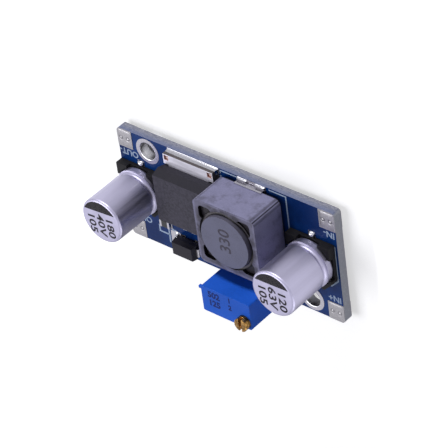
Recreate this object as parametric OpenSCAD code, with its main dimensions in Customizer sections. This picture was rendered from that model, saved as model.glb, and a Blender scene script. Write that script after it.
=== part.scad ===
// Boost converter module: a blue circuit board with a shielded choke, a five-lead regulator,
// two can capacitors, a diode and a multi-turn trimmer, made to be screwed down at two plated holes.
// Millimetres. +Z is up, out of the component side; the input end is at -X, the output end at +X.
// The origin is under the middle of the board, level with the tips of the trimmer's pins.

/* [Board] */
// Length of the board from the input end to the output end
board_l = 43; // [42:0.5:60]
// Width of the board
board_w = 21; // [20.6:0.1:30]
// Thickness of the bare board
board_t = 1.6; // [0.8:0.1:2.4]
// Radius of the board's corners
board_r = 0.6; // [0.2:0.1:1]
// Thickness of the tinned copper on either face
copper_t = 0.07; // [0.03:0.01:0.12]
// How far a solder land reaches past the terminal on it
land_margin = 0.2; // [0.05:0.05:0.25]

/* [Mounting holes] */
// Clear diameter of the mounting holes
hole_d = 3.2; // [2.2:0.1:3.4]
// Outer diameter of the tinned ring around a mounting hole
ring_d = 4.6; // [4.2:0.1:4.8]
// Distance from a mounting hole to the end of the board
hole_in_x = 6.1; // [5.6:0.1:7]
// Distance from a mounting hole to the long side of the board
hole_in_y = 2.5; // [2.5:0.1:2.8]

/* [Corner pads] */
// Length of a corner pad along the board
pad_l = 3; // [2:0.1:3.3]
// Width of a corner pad across the board
pad_w = 3.4; // [2:0.1:4]
// Diameter of the filled vias in a corner pad
via_d = 0.6; // [0.3:0.1:0.8]
// Distance between the two vias of a corner pad
via_pitch = 1.4; // [1:0.1:1.8]

/* [Capacitors] */
// Diameter of a capacitor's can
can_d = 8; // [6.3:0.1:8.4]
// Height of the input can's top above the board
in_can_h = 10.2; // [6:0.1:16]
// Height of the output can's top above the board
out_can_h = 10.5; // [6:0.1:16]
// Radius of the can's top edge
can_edge_r = 0.45; // [0.2:0.05:0.8]
// How far the crimped rim under the groove stands out past the can
rim_out = 0.1; // [0:0.02:0.14]
// Radius of the curled lower edge of the rim
rim_r = 0.5; // [0.2:0.05:0.7]
// Height of the crimp groove's middle above the floor of the base
groove_h = 1.9; // [1.6:0.1:3]
// Depth of the crimp groove
groove_depth = 0.4; // [0.2:0.05:0.5]
// Radius of the crimp groove's section
groove_r = 0.55; // [0.5:0.05:0.7]
// How far the moulded base stands out past the can on each side
base_margin = 0.15; // [0.1:0.01:0.2]
// Gap between the can and the corner posts of the base
post_gap = 0.25; // [0.22:0.01:0.3]
// Height of the base at its corner posts
base_h = 1.4; // [1:0.1:1.6]
// Distance between the corner posts along each side of the base
post_open = 4; // [2:0.1:5]
// Thickness of the base's floor
base_floor = 0.5; // [0.4:0.05:0.8]
// Leg of the two chamfers that mark the positive side of the base
base_chamfer = 1.6; // [0.8:0.1:2]
// Width of a capacitor's terminal
can_term_w = 0.9; // [0.6:0.1:1.2]
// Thickness of a capacitor's terminal
can_term_t = 0.25; // [0.1:0.05:0.3]
// How far a terminal reaches out past the base
can_term_out = 0.8; // [0.4:0.1:0.9]
// Half the distance between the inner ends of a capacitor's terminals
can_term_in = 1.2; // [0.8:0.1:2]
// Distance from the input capacitor's base to the end of the board
in_can_edge = 0.55; // [0.1:0.05:0.8]
// Distance from the output capacitor's base to the end of the board
out_can_edge = 0.15; // [0:0.05:0.5]
// Place of the capacitors across the board, from the middle
can_y = -0.4; // [-0.5:0.1:0.2]
// Least gap between a capacitor's land and the ring of a mounting hole
can_ring_gap = 0.1; // [0.05:0.05:0.3]

/* [Choke] */
// Side of the square ferrite shield
choke_s = 12; // [9:0.1:13]
// Height of the shield's top above the board
choke_h = 7; // [5:0.1:9]
// Radius of the shield's upright edges
choke_r = 1; // [0.3:0.1:1.2]
// Wall of the shield at the middle of each side
choke_wall = 0.8; // [0.6:0.05:1.2]
// Gap between the drum core and the shield
core_gap = 0.6; // [0.3:0.05:0.7]
// Wall of the shield beside the pockets in its corners
pocket_wall = 1; // [0.8:0.05:1.1]
// Side of a corner pocket
pocket_s = 2.5; // [2.3:0.1:3]
// Radius of a pocket's outer corner
pocket_r = 0.7; // [0.3:0.1:1]
// How far the drum core stands up past the shield
core_proud = 0.5; // [0:0.1:1]
// Thickness of the drum core's flanges
flange_t = 1.2; // [0.8:0.1:1.6]
// Diameter of the drum core's hub
hub_d = 4.4; // [3:0.1:5]
// Diameter of the choke's wire
wire_d = 0.55; // [0.4:0.05:0.7]
// How far the winding stays inside the core's flanges
winding_in = 0.3; // [0.1:0.05:0.6]
// Thickness of the moulded plate under the choke
choke_base_t = 0.4; // [0.3:0.05:0.6]
// How far the plate under the choke stays inside the shield's sides
choke_base_in = 0.25; // [0.1:0.05:0.5]
// Thickness of the choke's terminal strip
choke_term_t = 0.2; // [0.1:0.05:0.3]
// Width of the choke's terminal strip
choke_term_w = 5.2; // [4:0.1:6]
// Height of the strip up the side of the choke
choke_term_h = 1; // [0.8:0.1:2]
// Length of the strip under the choke
choke_term_under = 2.4; // [1.5:0.1:3]
// Length of the two toes that are soldered beside the choke
toe_l = 0.35; // [0.2:0.05:0.4]
// Width of each toe
toe_w = 1.7; // [1:0.1:1.9]
// Distance from the choke to the long side of the board
choke_edge = 0.8; // [0.75:0.05:1.2]
// Gap between the input capacitor and the choke
can_choke_gap = 0.9; // [0.5:0.1:1.5]
// Least gap between the choke and the trimmer
choke_trim_gap = 1.2; // [0.9:0.1:1.8]

/* [Regulator] */
// Width of the regulator's moulded body
reg_w = 10.2; // [9.6:0.1:11]
// Length of the body, without the tab and the leads
reg_l = 9.15; // [8:0.05:9.4]
// Height of the body's top above the board
reg_h = 4.45; // [4:0.05:5]
// How far the body's sides lean in from the parting line to the top
reg_draft = 0.3; // [0.1:0.05:0.5]
// Gap under the moulded body
reg_stand = 0.1; // [0.05:0.05:0.2]
// Thickness of the copper tab
tab_t = 1.3; // [1:0.1:1.5]
// How far the tab reaches out of the body
tab_out = 1.85; // [1.5:0.05:2]
// Width of the tab outside the body
tab_w = 10; // [9:0.1:10.2]
// Width of the slug inside the body
slug_w = 8; // [6:0.1:8.6]
// Length of the slug inside the body
slug_l = 6.4; // [5:0.1:7]
// Side of the square recess at each end of the tab
tab_mark = 0.8; // [0.4:0.1:0.9]
// Distance from a recess's middle to the tab's end and front
tab_mark_in = 0.65; // [0.6:0.05:0.8]
// Depth of that recess
tab_mark_depth = 0.3; // [0.1:0.05:0.5]
// Distance between the middles of the leads
lead_pitch = 1.7; // [1.5:0.05:1.8]
// Width of a lead
lead_w = 0.8; // [0.5:0.05:1]
// Thickness of a lead
lead_t = 0.5; // [0.3:0.05:0.6]
// Radius of a lead's bends, at the middle of its thickness
lead_r = 0.6; // [0.4:0.05:0.7]
// Height of a lead's middle where it leaves the body
lead_z = 2.6; // [2.2:0.1:2.8]
// Distance from the body to a lead's upright stretch
lead_knee = 1.1; // [1:0.1:1.6]
// Distance from the body to a lead's end
lead_out = 4; // [3.8:0.1:5]
// Depth of a lead inside the body
lead_in = 0.6; // [0.3:0.1:0.9]
// Distance from the tab to the long side of the board
tab_edge = 0.25; // [0.25:0.05:0.8]
// Gap between the choke and the regulator
choke_reg_gap = 0.5; // [0.3:0.1:1]
// Least gap between the regulator and the output capacitor
reg_can_gap = 1; // [0.5:0.1:2]
// Least gap between the regulator's leads and the diode
lead_gap = 0.8; // [0.5:0.1:1]

/* [Diode] */
// Length of the diode's body
dio_l = 4.3; // [3.8:0.1:4.6]
// Width of the diode's body
dio_w = 2.6; // [2.2:0.1:3]
// Height of the body's top above the board
dio_h = 2.25; // [1.8:0.05:2.6]
// How far the body's faces lean in from the parting line
dio_draft = 0.15; // [0.05:0.05:0.25]
// Width of the diode's terminals
dio_term_w = 1.5; // [1.2:0.1:1.8]
// Thickness of the diode's terminals
dio_term_t = 0.2; // [0.1:0.05:0.25]
// How far a terminal reaches out of the body
dio_term_out = 0.45; // [0.35:0.05:0.6]
// Length of a terminal's foot under the body
dio_foot = 1.2; // [0.8:0.1:1.5]
// Distance from the diode to the long side of the board
dio_edge = 1.4; // [1:0.1:1.6]
// Place of the diode along the board, from the regulator's middle
dio_off = 3.1; // [2.6:0.1:4]
// How far the diode's lands reach out past its terminals
dio_land_out = 1.4; // [0.3:0.1:1.6]
// Width of the diode's lands
dio_land_w = 2.7; // [2:0.1:2.8]
// Least gap between the diode's land and the chip beside it
dio_chip_gap = 0.3; // [0.2:0.1:1]

/* [Trimmer] */
// Length of the trimmer's housing
trim_l = 9.53; // [9:0.01:10]
// Width of the housing
trim_w = 4.83; // [4.4:0.01:5.2]
// Height of the housing's top above the board
trim_h = 10.1; // [8:0.05:12]
// Radius of the housing's upright edges
trim_r = 0.25; // [0.1:0.05:0.4]
// Height of the four feet under the housing
foot_h = 0.4; // [0.2:0.05:0.6]
// Side of each square foot
foot_s = 0.9; // [0.6:0.1:1.1]
// Distance from a foot to the housing's faces
foot_in = 0.1; // [0.1:0.05:0.3]
// Wall around the resin that closes the housing's underside
potting_wall = 0.6; // [0.4:0.05:0.8]
// Depth of that resin
potting_t = 1; // [0.6:0.1:1.5]
// Side of the small moulded nub at the housing's top corner
nub_s = 0.45; // [0.2:0.05:0.6]
// Distance from the screw's axis to the two faces beside it
screw_in = 1.25; // [1.23:0.01:1.4]
// Diameter of the brass screw's head
screw_d = 2.4; // [1.8:0.01:2.44]
// Height of the head's end above the housing
screw_out = 1.2; // [0.8:0.05:1.6]
// Bevel of the head's end
screw_bevel = 0.12; // [0.05:0.01:0.2]
// Diameter of the screw's shank
shank_d = 1.5; // [1:0.05:1.6]
// Length of the shank in the housing
shank_l = 4.2; // [3:0.1:6]
// Running clearance around and under the screw
run_gap = 0.05; // [0.02:0.01:0.08]
// Width of the screw's slot
slot_w = 0.6; // [0.4:0.05:0.8]
// Depth of the screw's slot
slot_d = 0.7; // [0.3:0.05:0.75]
// Diameter of the trimmer's pins
pin_d = 0.5; // [0.4:0.05:0.6]
// Distance between the trimmer's pins
pin_pitch = 2.54; // [2:0.01:2.6]
// Diameter of the pin holes in the board
pin_hole_d = 0.9; // [0.8:0.05:1.1]
// How far the pins reach out under the board
pin_tail = 0.9; // [0.6:0.05:1.5]
// Bare length of a pin's tip below its solder
pin_bare = 0.2; // [0.1:0.05:0.4]
// Diameter of the solder around a pin under the board
solder_d = 1.8; // [1.4:0.1:2]
// Distance from the trimmer to the long side of the board
trim_edge = 1.4; // [1:0.1:1.5]
// Place of the trimmer along the board, from the choke's middle
trim_off = -1; // [-1.4:0.1:0.5]
// Least gap between the trimmer and the ring of the mounting hole beside it
trim_ring_gap = 1; // [0.5:0.1:1.5]

/* [Chips] */
// Length of the chip resistor and the chip capacitor
chip_l = 2; // [1.6:0.1:2.2]
// Width of the chips
chip_w = 1.25; // [0.8:0.05:1.4]
// Height of the chip resistor
resistor_h = 0.5; // [0.35:0.05:0.7]
// Height of the chip capacitor
ceramic_h = 0.9; // [0.6:0.05:1.2]
// Length of a chip's metal end
cap_l = 0.4; // [0.2:0.05:0.6]
// How far a chip's metal ends stand out past its body
cap_out = 0.03; // [0.02:0.01:0.06]
// Gap between the trimmer and the chip capacitor
ceramic_gap = 1.4; // [1:0.1:3]
// Distance from the chip capacitor's middle to the long side of the board
ceramic_edge = 2.7; // [2:0.1:2.9]
// Distance from the chip resistor's middle to that side
resistor_edge = 5.1; // [5:0.1:5.3]
// Place of the chip resistor along the board, from the output capacitor's middle
resistor_off = -3.5; // [-3.8:0.1:-3]

/* [Hidden] */
$fn = 64;
// Steps in each bend of a formed strip
bend_steps = 6;
// How far a cutter runs past the face that it cuts
past = 1;

// Levels: the board's faces, and the top of the lands that the parts are soldered to
board_bottom = pin_tail;
board_top = board_bottom + board_t;
seat_z = board_top + copper_t;

// Mounting holes, on one diagonal
hole_x = board_l / 2 - hole_in_x;
hole_y = board_w / 2 - hole_in_y;

// Room on the board: the row of parts along it, the capacitors between the mounting holes,
// and what the trimmer and the diode leave across it to the choke and the regulator
base_s = can_d + 2 * base_margin;
row_gaps = in_can_edge + can_choke_gap + choke_reg_gap + reg_can_gap + out_can_edge;
row_room = board_l - row_gaps;
can_room = 2 * (hole_y - ring_d / 2 - abs(can_y) - can_ring_gap);
choke_room = board_w - choke_edge - choke_trim_gap - trim_w - trim_edge;
reg_room = board_w - tab_edge - lead_gap - dio_w - dio_edge;

// Share of its full size at which each of them fits there
row_fit = min(1, row_room / (2 * base_s + choke_s + reg_w));
can_fit = min(row_fit, can_room / (base_s + 2 * (can_term_out + land_margin)));
choke_fit = min(row_fit, choke_room / choke_s);
reg_fit = min(row_fit, reg_room / (tab_out + reg_l + lead_out));

// Capacitors
in_can_x = -board_l / 2 + in_can_edge + can_fit * base_s / 2;
out_can_x = board_l / 2 - out_can_edge - can_fit * base_s / 2;

// Choke, from its solder lands upwards
choke_x = in_can_x + can_fit * base_s / 2 + can_choke_gap + choke_fit * choke_s / 2;
choke_y = -board_w / 2 + choke_edge + choke_fit * choke_s / 2;
shield_d = choke_s - 2 * choke_wall;
shield_z = choke_term_t + choke_base_t;
shield_h = choke_h - copper_t - shield_z;
core_d = shield_d - 2 * core_gap;
core_h = shield_h + core_proud;
winding_h = core_h - 2 * flange_t;
winding_r = core_d / 2 - winding_in;
turns = floor(winding_h / wire_d);
pocket_reach = choke_s / 2 - pocket_wall;
wire_end_r = core_d / 2 + core_gap + wire_d;
wire_end_h = core_h / 2;

// Regulator, from its solder lands upwards
reg_x = choke_x + choke_fit * choke_s / 2 + choke_reg_gap + reg_fit * reg_w / 2;
reg_y = -board_w / 2 + tab_edge + reg_fit * tab_out;
reg_top = reg_h - copper_t;

// Trimmer and its screw
trim_x = max(choke_x + trim_off, ring_d / 2 - hole_x + trim_ring_gap + trim_l / 2);
trim_y = board_w / 2 - trim_edge - trim_w / 2;
trim_top = board_top + trim_h;
screw_x = trim_x - trim_l / 2 + screw_in;
screw_y = trim_y + trim_w / 2 - screw_in;

// Chips: the capacitor beside the trimmer, the resistor beside the output capacitor
ceramic_x = trim_x + trim_l / 2 + ceramic_gap + chip_l / 2;
ceramic_y = board_w / 2 - ceramic_edge;
resistor_x = out_can_x + resistor_off;
resistor_y = board_w / 2 - resistor_edge;

// Diode, in line with the chip capacitor
dio_reach = dio_l / 2 + dio_term_out;
dio_room = land_margin + dio_chip_gap + dio_land_out + dio_reach;
dio_x = max(reg_x + dio_off, ceramic_x + chip_l / 2 + dio_room);
dio_y = board_w / 2 - dio_edge - dio_w / 2;
dio_top = dio_h - copper_t;
dio_mid = dio_term_t + (dio_top - dio_term_t) / 2;

// Formed strips: a bent sheet-metal section that follows a path with rounded corners

function unit(v) = v / norm(v);
function left_of(v) = [-v[1], v[0]];
function turned(v, a) = [v[0] * cos(a) - v[1] * sin(a), v[0] * sin(a) + v[1] * cos(a)];
function cross_of(a, b) = a[0] * b[1] - a[1] * b[0];
function turn_angle(a, b) = atan2(cross_of(a, b), a * b);

// Points and left normals along the bend at corner b of the path a, b, c
function bend(a, b, c, r) =
    let (
        d = unit(b - a),
        angle = turn_angle(d, unit(c - b)),
        side = sign(angle),
        start = b - d * r * tan(abs(angle) / 2),
        centre = start + left_of(d) * side * r
    )
    [for (i = [0 : bend_steps])
        let (n = turned(left_of(d), angle * i / bend_steps))
        [centre - n * side * r, n]];

// Outline of a strip of thickness t along a path, with bends of radius r
module strip_outline(path, t, r) {
    last = len(path) - 1;
    first_n = left_of(unit(path[1] - path[0]));
    last_n = left_of(unit(path[last] - path[last - 1]));
    bends = [for (i = [1 : last - 1]) each bend(path[i - 1], path[i], path[i + 1], r)];
    line = concat([[path[0], first_n]], bends, [[path[last], last_n]]);
    polygon(concat(
        [for (p = line) p[0] + p[1] * t / 2],
        [for (i = [len(line) - 1 : -1 : 0]) line[i][0] - line[i][1] * t / 2]
    ));
}

// A strip of width w whose path lies in Y and Z, centred on x = 0
module strip_yz(path, t, r, w) {
    rotate([90, 0, 90]) translate([0, 0, -w / 2]) linear_extrude(w) strip_outline(path, t, r);
}

// Shared shapes

// Plate with rounded upright edges, centred, standing on z = 0
module round_plate(l, w, h, r) {
    linear_extrude(h) round_rect(l, w, r);
}

module round_rect(l, w, r) {
    square([l - 2 * r, w], center = true);
    square([l, w - 2 * r], center = true);
    for (x = [-1, 1], y = [-1, 1])
        translate([x * (l / 2 - r), y * (w / 2 - r)]) circle(r);
}

// Block that is centred across X and Y and stands on z = 0
module slab(l, w, h) {
    translate([-l / 2, -w / 2, 0]) cube([l, w, h]);
}

// Cutter for the waste outside a rounded corner at the far end of [r, r] from the arc's centre
module corner_waste(r) {
    difference() {
        square(r + past);
        circle(r);
    }
}

// Board and its plated copper

module at_holes() {
    for (s = [-1, 1]) translate([s * hole_x, -s * hole_y, 0]) children();
}

module at_pins() {
    for (i = [-1 : 1]) translate([trim_x + i * pin_pitch, trim_y, 0]) children();
}

module at_vias(end, side) {
    for (i = [-0.5, 0.5])
        translate([end * (board_l - pad_l) / 2 + i * via_pitch, side * (board_w - pad_w) / 2, 0])
            children();
}

// Hole cutter through the board
module board_hole(d) {
    translate([0, 0, board_bottom - past]) cylinder(d = d, h = board_t + 2 * past);
}

module circuit_board() {
    color("#0d2f6e") difference() {
        translate([0, 0, board_bottom]) round_plate(board_l, board_w, board_t, board_r);
        at_holes() board_hole(hole_d);
        at_pins() board_hole(pin_hole_d);
        for (end = [-1, 1], side = [-1, 1]) at_vias(end, side) board_hole(via_d);
    }
}

// One corner pad: a tinned plate on either face, joined by two filled vias
module corner_pad(end, side) {
    color("#c3c3c8") {
        for (z = [board_bottom - copper_t, board_top]) translate([0, 0, z])
            linear_extrude(copper_t) intersection() {
                round_rect(board_l, board_w, board_r);
                translate([end * (board_l - pad_l) / 2, side * (board_w - pad_w) / 2])
                    square([pad_l, pad_w], center = true);
            }
        at_vias(end, side) translate([0, 0, board_bottom - copper_t])
            cylinder(d = via_d, h = board_t + 2 * copper_t);
    }
}

module input_negative_pad() { corner_pad(-1, -1); }
module input_positive_pad() { corner_pad(-1, 1); }
module output_negative_pad() { corner_pad(1, -1); }
module output_positive_pad() { corner_pad(1, 1); }

// Tinned rings round a mounting hole, one on either face
module mount_ring() {
    color("#c8c8cc") difference() {
        for (z = [board_bottom - copper_t, board_top]) translate([0, 0, z])
            cylinder(d = ring_d, h = copper_t);
        board_hole(hole_d);
    }
}

module input_mount_ring() { translate([-hole_x, hole_y, 0]) mount_ring(); }
module output_mount_ring() { translate([hole_x, -hole_y, 0]) mount_ring(); }

// Lands of a part at x and y that fits the board at k times its full size
module fitted(x, y, k) {
    translate([x, y, 0]) scale([k, k, 1]) children();
}

// Tinned land on the board under a terminal of length l and width w
module land(l, w) {
    translate([0, 0, board_top]) slab(l + 2 * land_margin, w + 2 * land_margin, copper_t);
}

module solder_lands() {
    can_term_l = base_s / 2 + can_term_out - can_term_in;
    choke_toe_y = choke_s / 2 + choke_term_t + toe_l;
    choke_foot = choke_term_under + choke_term_t + toe_l;
    lead_foot = lead_out - lead_knee - lead_r;
    dio_land = dio_foot + dio_term_out + dio_land_out;
    color("#bfbfc4") {
        for (x = [in_can_x, out_can_x], side = [-1, 1]) fitted(x, can_y, can_fit)
            translate([0, side * (can_term_in + can_term_l / 2), 0]) land(can_term_w, can_term_l);
        for (side = [-1, 1]) fitted(choke_x, choke_y, choke_fit)
            translate([0, side * (choke_toe_y - choke_foot / 2), 0]) land(choke_term_w, choke_foot);
        fitted(reg_x, reg_y, reg_fit) {
            translate([0, -tab_out / 2, 0]) land(tab_w, tab_out);
            translate([0, slug_l / 2, 0]) land(slug_w, slug_l);
            for (i = [-2 : 2]) translate([i * lead_pitch, reg_l + lead_out - lead_foot / 2, 0])
                land(lead_w, lead_foot);
        }
        for (side = [-1, 1])
            translate([dio_x + side * (dio_reach + dio_land_out - dio_land / 2), dio_y, board_top])
                slab(dio_land, dio_land_w, copper_t);
        for (p = [[resistor_x, resistor_y], [ceramic_x, ceramic_y]], side = [-1, 1])
            translate([p[0] + side * (chip_l - cap_l) / 2, p[1], 0]) land(cap_l, chip_w);
    }
}

// Capacitors: an aluminium can crimped on its seal, on a moulded base with two flat terminals

module at_can(x) {
    translate([x, can_y, seat_z]) scale(can_fit) children();
}

// Outer profile of a can of height h: curled rim, crimp groove, straight wall, rounded top edge
module can_profile(h) {
    r = can_d / 2;
    difference() {
        union() {
            square([r, h]);
            square([r + rim_out, groove_h]);
        }
        translate([r + groove_r - groove_depth, groove_h]) circle(groove_r);
        translate([r - can_edge_r, h - can_edge_r]) corner_waste(can_edge_r);
        translate([r + rim_out - rim_r, rim_r]) mirror([0, 1]) corner_waste(rim_r);
    }
}

// Can on the floor of its base, its top at the height top_h above the board
module can(x, top_h) {
    color("#b9b6c8") at_can(x) translate([0, 0, base_floor])
        rotate_extrude() can_profile(top_h - copper_t - base_floor);
}

module can_terminal_pair(x) {
    color("#d2d2d6") at_can(x) for (side = [0, 180]) rotate(side)
        translate([-can_term_w / 2, can_term_in, 0])
            cube([can_term_w, base_s / 2 + can_term_out - can_term_in, can_term_t]);
}

// Moulded base: a floor with corner posts round the can, chamfered on the positive side
module can_base(x) {
    a = base_s / 2;
    c = base_chamfer;
    color("#1b1b1e") difference() {
        at_can(x) difference() {
            linear_extrude(base_h)
                polygon([[-a, -a], [a, -a], [a, a - c], [a - c, a], [-a + c, a], [-a, a - c]]);
            translate([0, 0, base_floor]) {
                cylinder(d = can_d + 2 * post_gap, h = base_h);
                for (turn = [0, 90]) rotate(turn) slab(post_open, base_s + past, base_h);
            }
        }
        can_terminal_pair(x);
    }
}

module input_capacitor_can() { can(in_can_x, in_can_h); }
module input_capacitor_base() { can_base(in_can_x); }
module input_capacitor_terminals() { can_terminal_pair(in_can_x); }
module output_capacitor_can() { can(out_can_x, out_can_h); }
module output_capacitor_base() { can_base(out_can_x); }
module output_capacitor_terminals() { can_terminal_pair(out_can_x); }

// Choke: a wound drum core inside a square ferrite shield

module at_choke(z) {
    translate([choke_x, choke_y, seat_z]) scale(choke_fit) translate([0, 0, z]) children();
}

// Square ring, bored for the drum core, with a pocket for the wire in each corner
module choke_shield() {
    pocket_mid = pocket_reach - pocket_s / 2;
    color("#85859a") at_choke(shield_z) linear_extrude(shield_h) difference() {
        round_rect(choke_s, choke_s, choke_r);
        circle(d = shield_d);
        for (x = [-1, 1], y = [-1, 1]) translate([x * pocket_mid, y * pocket_mid])
            round_rect(pocket_s, pocket_s, pocket_r);
    }
}

module choke_core() {
    color("#77778a") at_choke(shield_z) {
        cylinder(d = core_d, h = flange_t);
        cylinder(d = hub_d, h = core_h);
        translate([0, 0, core_h - flange_t]) cylinder(d = core_d, h = flange_t);
    }
}

// Wound copper between the flanges, its outer layer showing as separate turns
module choke_winding() {
    layer_r = winding_r - wire_d / 2;
    color("#a5623a") at_choke(shield_z + core_h / 2) rotate_extrude() {
        translate([hub_d / 2, -turns * wire_d / 2]) square([layer_r - hub_d / 2, turns * wire_d]);
        for (i = [0 : turns - 1]) translate([layer_r, (i + 0.5 - turns / 2) * wire_d])
            circle(d = wire_d, $fn = 32);
    }
}

// Wire ends that come off the winding and run down opposite corner pockets to the terminals
module choke_wire_ends() {
    reach = wire_end_r - winding_r;
    color("#b06a3e") at_choke(shield_z) for (a = [45, 225]) rotate(a) {
        translate([wire_end_r, 0, 0]) cylinder(d = wire_d, h = wire_end_h, $fn = 32);
        translate([wire_end_r, 0, wire_end_h]) sphere(d = wire_d, $fn = 32);
        translate([winding_r, 0, wire_end_h]) rotate([0, 90, 0])
            cylinder(d = wire_d, h = reach, $fn = 32);
    }
}

module choke_base() {
    color("#2a2a2e") at_choke(choke_term_t) linear_extrude(choke_base_t)
        round_rect(choke_s - 2 * choke_base_in, choke_s - 2 * choke_base_in, choke_r);
}

// Terminal strip: under the plate, up the side of the shield, with two soldered toes
module choke_terminals() {
    t = choke_term_t;
    face = choke_s / 2;
    color("#d4d4d8") at_choke(0) for (side = [0, 180]) rotate(side) {
        strip_yz([
            [face - choke_term_under, t / 2], [face + t / 2, t / 2], [face + t / 2, choke_term_h]
        ], t, t, choke_term_w);
        for (i = [-1, 1]) translate([i * (choke_term_w - toe_w) / 2 - toe_w / 2, face - t, 0])
            cube([toe_w, 2 * t + toe_l, t]);
    }
}

// Regulator: a moulded body over a copper slug, with five formed leads

module at_regulator() {
    translate([reg_x, reg_y, seat_z]) scale(reg_fit) children();
}

// Section of a moulded body from a to b, leaning in above and below its parting line
module drafted_section(a, b, low, parting, top, draft) {
    under = draft * (parting - low) / (top - parting);
    polygon([
        [a + under, low], [b - under, low], [b, parting],
        [b - draft, top], [a + draft, top], [a, parting]
    ]);
}

module regulator_body() {
    color("#46434d") difference() {
        at_regulator() intersection() {
            rotate([90, 0, 90]) linear_extrude(2 * reg_w, center = true)
                drafted_section(0, reg_l, reg_stand, lead_z, reg_top, reg_draft);
            translate([0, 2 * reg_l, 0]) rotate([90, 0, 0]) linear_extrude(4 * reg_l)
                drafted_section(-reg_w / 2, reg_w / 2, reg_stand, lead_z, reg_top, reg_draft);
        }
        regulator_tab();
        regulator_leads();
    }
}

// Copper slug under the body and the tab outside it, with a bare square at each end
module regulator_tab() {
    mark_x = tab_w / 2 - tab_mark_in;
    color("#c9c7c9") at_regulator() difference() {
        union() {
            translate([0, -tab_out / 2, 0]) slab(tab_w, tab_out, tab_t);
            translate([0, slug_l / 2 - tab_out / 2, 0]) slab(slug_w, slug_l + tab_out, tab_t);
        }
        for (s = [-1, 1]) translate([s * mark_x, tab_mark_in - tab_out, tab_t - tab_mark_depth])
            slab(tab_mark, tab_mark, tab_mark_depth + past);
    }
}

module regulator_leads() {
    color("#cfcfd3") at_regulator() for (i = [-2 : 2]) translate([i * lead_pitch, reg_l, 0])
        strip_yz([
            [-lead_in, lead_z], [lead_knee, lead_z], [lead_knee, lead_t / 2], [lead_out, lead_t / 2]
        ], lead_t, lead_r, lead_w);
}

// Diode: a moulded body with a terminal folded under each end

module at_diode() {
    translate([dio_x, dio_y, seat_z]) children();
}

module diode_body() {
    color("#3c3a3e") difference() {
        at_diode() intersection() {
            rotate([90, 0, 90]) linear_extrude(2 * dio_l, center = true)
                drafted_section(-dio_w / 2, dio_w / 2, dio_term_t, dio_mid, dio_top, dio_draft);
            translate([0, dio_w, 0]) rotate([90, 0, 0]) linear_extrude(2 * dio_w)
                drafted_section(-dio_l / 2, dio_l / 2, dio_term_t, dio_mid, dio_top, dio_draft);
        }
        diode_terminals();
    }
}

module diode_terminals() {
    t = dio_term_t;
    end = dio_reach - t / 2;
    color("#d2d2d6") at_diode() for (side = [90, -90]) rotate(side)
        strip_yz([
            [dio_l / 2 - dio_term_out, dio_mid], [end, dio_mid], [end, t / 2],
            [dio_l / 2 - dio_foot, t / 2]
        ], t, t, dio_term_w);
}

// Trimmer: a moulded housing with a slotted brass screw, closed with resin around its pins

module screw_axis(z) {
    translate([screw_x, screw_y, z]) children();
}

module trimmer_housing() {
    floor_z = board_top + foot_h;
    foot_x = trim_l / 2 - foot_in - foot_s / 2;
    foot_y = trim_w / 2 - foot_in - foot_s / 2;
    color("#2a62cf") {
        difference() {
            translate([trim_x, trim_y, floor_z]) round_plate(trim_l, trim_w, trim_h - foot_h, trim_r);
            trimmer_resin();
            screw_axis(trim_top - shank_l - run_gap)
                cylinder(d = shank_d + 2 * run_gap, h = shank_l + run_gap + past);
        }
        for (x = [-1, 1], y = [-1, 1]) translate([trim_x + x * foot_x, trim_y + y * foot_y, board_top])
            slab(foot_s, foot_s, foot_h);
        translate([trim_x + trim_l / 2, trim_y - trim_w / 2 + trim_r + nub_s / 2, trim_top - nub_s])
            slab(2 * nub_s, nub_s, nub_s);
    }
}

// Resin block in the underside of the housing, without the pins
module trimmer_resin() {
    translate([trim_x, trim_y, board_top + foot_h])
        slab(trim_l - 2 * potting_wall, trim_w - 2 * potting_wall, potting_t);
}

module trimmer_potting() {
    color("#3f4a63") difference() {
        trimmer_resin();
        trimmer_pins();
    }
}

// Slotted head above the housing, and the shank that turns in its bore
module trimmer_screw() {
    head_h = screw_out - run_gap;
    color("#d3a94f") difference() {
        union() {
            screw_axis(trim_top - shank_l) cylinder(d = shank_d, h = shank_l + screw_out / 2);
            screw_axis(trim_top + run_gap) {
                cylinder(d = screw_d, h = head_h - screw_bevel);
                translate([0, 0, head_h - screw_bevel])
                    cylinder(d1 = screw_d, d2 = screw_d - 2 * screw_bevel, h = screw_bevel);
            }
        }
        screw_axis(trim_top + screw_out - slot_d) slab(slot_w, screw_d + past, slot_d + past);
    }
}

module trimmer_pins() {
    color("#d6d6da") at_pins() cylinder(d = pin_d, h = board_top + foot_h + potting_t, $fn = 32);
}

// Solder that fills each pin hole and forms a cone under the board
module trimmer_solder() {
    cone_h = pin_tail - pin_bare;
    color("#c6c6ca") difference() {
        at_pins() {
            translate([0, 0, pin_bare]) cylinder(d1 = pin_hole_d, d2 = solder_d, h = cone_h);
            translate([0, 0, board_bottom - cone_h / 2])
                cylinder(d = pin_hole_d, h = board_t + cone_h / 2);
        }
        trimmer_pins();
    }
}

// Chips: a ceramic body with a metal cap over each end

module chip(x, y, h) {
    translate([x, y, seat_z]) {
        translate([0, 0, cap_out]) slab(chip_l - cap_l, chip_w - 2 * cap_out, h - 2 * cap_out);
        for (side = [-1, 1]) translate([side * (chip_l - cap_l) / 2, 0, 0])
            slab(cap_l, chip_w, h);
    }
}

module feedback_resistor() { color("#26262a") chip(resistor_x, resistor_y, resistor_h); }
module compensation_capacitor() { color("#a88b66") chip(ceramic_x, ceramic_y, ceramic_h); }

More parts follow.
